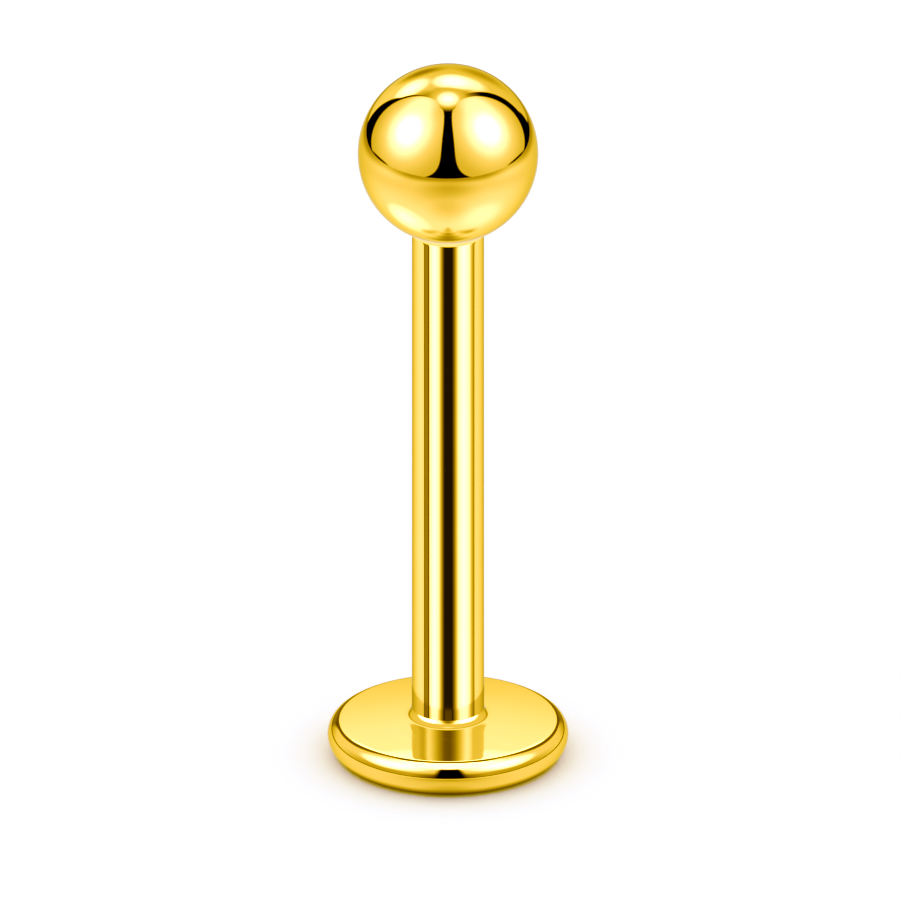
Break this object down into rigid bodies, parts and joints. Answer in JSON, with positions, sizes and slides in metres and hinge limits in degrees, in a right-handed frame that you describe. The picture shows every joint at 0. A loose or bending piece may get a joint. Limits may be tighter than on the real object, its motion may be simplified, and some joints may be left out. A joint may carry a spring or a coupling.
{
  "type": "labret stud",
  "caption": "Labret stud: a slim straight post on a round, softly crowned back disc, closed at the other end by a polished ball that screws on.",
  "frame": {"origin": "middle of the back disc's flat underside, which is the surface that the stud stands on", "axes": "+Z along the post, from the back disc to the ball; the stud is round about Z, so X and Y are free"},
  "size_m": [0.004, 0.004, 0.0124],
  "materials": {
    "post_gold": "mirror polished gold coloured coating on steel",
    "ball_gold": "mirror polished gold coloured coating on steel"
  },
  "bodies": {
    "post": {"disc_post": "post_gold"},
    "ball": {"ball": "ball_gold"}
  },
  "joints": [
    {"name": "ball_lift", "type": "slide", "parent": "post", "child": "ball", "axis": [0, 0, 1], "range_m": [0, 0.0026]}
  ]
}
